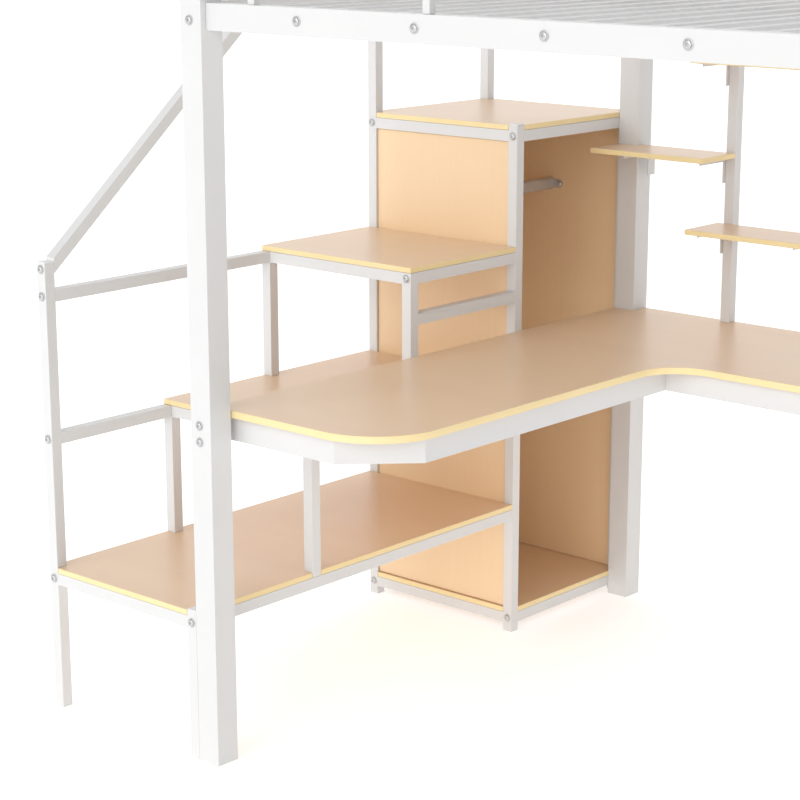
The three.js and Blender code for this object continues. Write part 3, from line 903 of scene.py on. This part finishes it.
inner_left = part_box("step_rail_1_left")[1].x
inner_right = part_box("step_rail_1_right")[0].x
cross_tubes = [
    ("stair", "stair_front_frame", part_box("step_rail_1_left")[0].z + tube_width),
    ("step_2", "step_frame_2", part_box("step_frame_2")[1].z),
    ("step_3", "step_frame_3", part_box("step_frame_3")[1].z),
]
for side in ("front", "back"):
    for level_name in ("top", "bottom"):
        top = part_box(f"wardrobe_rail_{level_name}_left")[1].z
        cross_tubes.append((f"wardrobe_{side}_{level_name}", f"wardrobe_{side}_frame", top))
for name, node_name, top in cross_tubes:
    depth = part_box(node_name)[0].y + tube_width / 2
    for hand, x in (("left", inner_left), ("right", inner_right)):
        bead(tube_bead, f"weld_{name}_{hand}", (x, depth, top - tube_width), "front")
print("beads on cross tubes:", 2 * len(cross_tubes))

# %% Beads on the guards
END_BAR = 106 * MM
INNER_BAR = 525 * MM

rail_under = node_top("guard_front") - tube_width
for side in ("front", "back"):
    low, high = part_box(f"guard_{side}")
    depth = (low.y + high.y) / 2
    starts = [low.x + END_BAR, low.x + INNER_BAR]
    starts += [high.x - INNER_BAR - BAR_WIDTH, high.x - END_BAR - BAR_WIDTH]
    for k, start in enumerate(starts):
        for edge, x in (("a", start), ("b", start + BAR_WIDTH)):
            bead(bar_bead, f"weld_guard_{side}_{k + 1}{edge}", (x, depth, rail_under), "front")
low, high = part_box("guard_right")
across = (low.x + high.x) / 2
length = high.y - low.y
for k, start in enumerate((END_BAR, (length - BAR_WIDTH) / 2, length - END_BAR - BAR_WIDTH)):
    for edge, y in (("a", low.y + start), ("b", low.y + start + BAR_WIDTH)):
        bead(bar_bead, f"weld_guard_right_{k + 1}{edge}", (across, y, rail_under), "right")
bpy.data.objects.remove(tube_bead)
bpy.data.objects.remove(bar_bead)
beads = [piece for piece in made_pieces if piece.name.startswith("weld_")]
print("beads:", len(beads))

# %% [markdown]
# ## Floor and light
#
# A plain pale floor reaches far enough that no edge shows. In a white studio the floor is lit on
# its own until it is as white as the walls, and it lights the undersides in turn. A little emission
# on the floor does the same, and leaves only the softest shadow.
#
# The glow of the room is brightest behind the bed and to its left, where a backdrop stands, so the
# levels shine at a low angle and the right-hand faces stay a light grey. Broad lamps add the rest:
# one from the front and above makes the front faces white, two low ones from the front left and
# the front right reach under the deck and into the wardrobe, and a faint one comes from above.

# %% Floor
FLOOR_WIDE = 160
FLOOR_GLOW = 0.4
FLOOR_DROP = 0.5 * MM


def pale_floor():
    deselect_all()
    bpy.ops.mesh.primitive_plane_add(size=FLOOR_WIDE, location=(0, 0, -FLOOR_DROP))
    ground = bpy.context.object
    ground.name = "studio_floor"
    paint = Finish("pale_floor", Emission_Color=WHITE, Emission_Strength=FLOOR_GLOW)
    grain = paint.noise(paint.stretched((3, 3, 3)), 3)
    paint.feed("Base Color", paint.mix(grain, rgb(0.92, 0.92, 0.92), rgb(0.95, 0.95, 0.95)))
    paint.feed("Roughness", paint.level(grain, 0.3, 0.7, 0.8, 0.9))
    ground.data.materials.append(paint.material)
    ground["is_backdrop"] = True
    return ground


studio_floor = pale_floor()
print("floor:", tuple(studio_floor.dimensions))

# %% The glow of the room
world = bpy.data.worlds.new("studio_glow")
bpy.context.scene.world = world
world.use_nodes = True
glow = Graph(world.node_tree, "Background")
ray = glow.node("ShaderNodeTexCoord", output=0)


def soft_side(towards):
    """One on that side of the room, falling smoothly to nothing on the other."""
    side = Vector(towards).normalized()
    facing = glow.node("ShaderNodeVectorMath", {"operation": "DOT_PRODUCT"}, {0: ray, 1: side}, output=1)
    lit = glow.node("ShaderNodeMath", {"operation": "MAXIMUM"}, {0: facing, 1: 0.0})
    return lit * lit


ROOM = 0.33
FROM_BEHIND = 0.74
FROM_LEFT = 0.3
FROM_BACKDROP = 0.42
backdrop = soft_side((-0.66, 0.73, 0.25))
sides = FROM_BEHIND * soft_side((0, 1, 0.25)) + FROM_LEFT * soft_side((-1, 0, 0.25))
glow.feed("Color", ROOM + sides + FROM_BACKDROP * backdrop * backdrop)
print("glow nodes:", len(world.node_tree.nodes))

# %% The lamps
LAMP_SPREAD = math.radians(50)


def soft_lamp(name, azimuth, elevation, strength):
    """A broad lamp, far off. Azimuth 0 is the front and 90 the right."""
    around, above = math.radians(azimuth), math.radians(elevation)
    source = Vector((math.sin(around), -math.cos(around), math.tan(above)))
    data = bpy.data.lights.new(name, "SUN")
    data.energy = strength
    data.angle = LAMP_SPREAD
    lamp = bpy.data.objects.new(name, data)
    lamp.rotation_mode = "QUATERNION"
    lamp.rotation_quaternion = (-source).to_track_quat("-Z", "Y")
    bpy.context.scene.collection.objects.link(lamp)
    return lamp


lamps = [
    soft_lamp("front_lamp", 0, 30, 1.08),
    soft_lamp("low_left_lamp", -35, 12, 0.25),
    soft_lamp("low_right_lamp", 35, 12, 0.86),
    soft_lamp("top_lamp", 0, 80, 0.2),
]
bpy.context.scene.view_settings.view_transform = "Standard"
print("lamps:", [(lamp.name, round(lamp.data.energy, 2)) for lamp in lamps])

# %% [markdown]
# ## Checks and the end
#
# The new pieces are counted, and the shown object's box is set beside the CAD's. Caps and bolt
# heads stand a few millimetres proud, and nothing more.

# %% Measure and finish
faces = sum(len(piece.data.polygons) for piece in made_pieces)
shown_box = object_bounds()
print("new pieces:", len(made_pieces), "faces:", faces)
for label, low, high in (("cad", *cad_box), ("shown", *shown_box)):
    print(label, [round(high[i] - low[i], 4) for i in range(3)])
